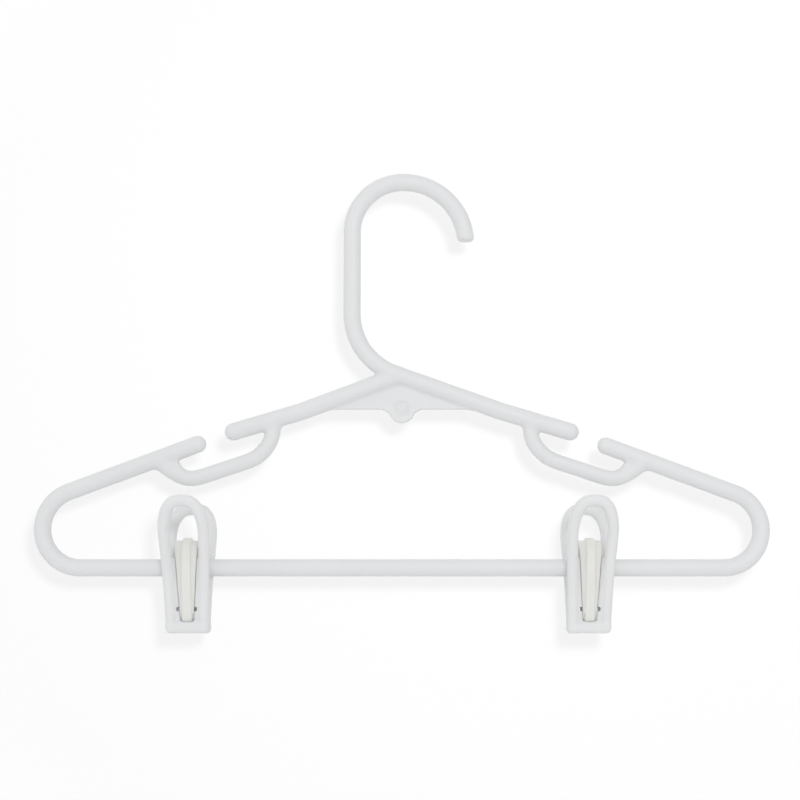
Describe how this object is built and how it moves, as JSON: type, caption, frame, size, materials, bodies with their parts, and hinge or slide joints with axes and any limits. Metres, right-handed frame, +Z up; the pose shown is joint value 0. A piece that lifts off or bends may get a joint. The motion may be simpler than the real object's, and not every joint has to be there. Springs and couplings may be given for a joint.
{
  "type": "clothes hanger with clips",
  "caption": "Moulded plastic clothes hanger with strap notches, a straight trouser bar and sprung pinch clips that slide along the bar.",
  "frame": {"origin": "the hook's seat: the inner top of the hook, where it bears on a rail", "axes": "+Z up along the hook, +X along the trouser bar, the hanger's front faces -Y"},
  "size_m": [0.3198, 0.041, 0.203],
  "materials": {
    "frame_plastic": "satin white polypropylene",
    "jaw_plastic": "satin white polypropylene",
    "spring_plastic": "satin cream acetal"
  },
  "bodies": {
    "frame": {"hanger_frame": "frame_plastic"},
    "left_clip": {"left_clip_spring": "spring_plastic"},
    "left_front_jaw": {"left_clip_front_jaw": "jaw_plastic"},
    "left_rear_jaw": {"left_clip_rear_jaw": "jaw_plastic"},
    "right_clip": {"right_clip_spring": "spring_plastic"},
    "right_front_jaw": {"right_clip_front_jaw": "jaw_plastic"},
    "right_rear_jaw": {"right_clip_rear_jaw": "jaw_plastic"}
  },
  "joints": [
    {"name": "left_clip_slide", "type": "slide", "parent": "frame", "child": "left_clip", "axis": [1, 0, 0], "range_m": [-0.0333, 0.0807]},
    {"name": "left_front_jaw_pinch", "type": "hinge", "parent": "left_clip", "child": "left_front_jaw", "pos_m": [-0.0927, 0, -0.1674], "axis": [-1, 0, 0], "range_deg": [0, 18], "stiffness_Nm_per_rad": 0.4, "springref_deg": -28.65, "deforming": ["left_clip_spring"]},
    {"name": "left_rear_jaw_pinch", "type": "hinge", "parent": "left_clip", "child": "left_rear_jaw", "pos_m": [-0.0927, 0, -0.1674], "axis": [1, 0, 0], "range_deg": [0, 18], "stiffness_Nm_per_rad": 0.4, "springref_deg": -28.65},
    {"name": "right_clip_slide", "type": "slide", "parent": "frame", "child": "right_clip", "axis": [1, 0, 0], "range_m": [-0.0691, 0.0449]},
    {"name": "right_front_jaw_pinch", "type": "hinge", "parent": "right_clip", "child": "right_front_jaw", "pos_m": [0.0811, 0, -0.1674], "axis": [-1, 0, 0], "range_deg": [0, 18], "stiffness_Nm_per_rad": 0.4, "springref_deg": -28.65, "deforming": ["right_clip_spring"]},
    {"name": "right_rear_jaw_pinch", "type": "hinge", "parent": "right_clip", "child": "right_rear_jaw", "pos_m": [0.0811, 0, -0.1674], "axis": [1, 0, 0], "range_deg": [0, 18], "stiffness_Nm_per_rad": 0.4, "springref_deg": -28.65}
  ],
  "couplings": [
    {"joint": "left_rear_jaw_pinch", "follows": "left_front_jaw_pinch", "ratio": 1},
    {"joint": "right_rear_jaw_pinch", "follows": "right_front_jaw_pinch", "ratio": 1}
  ]
}
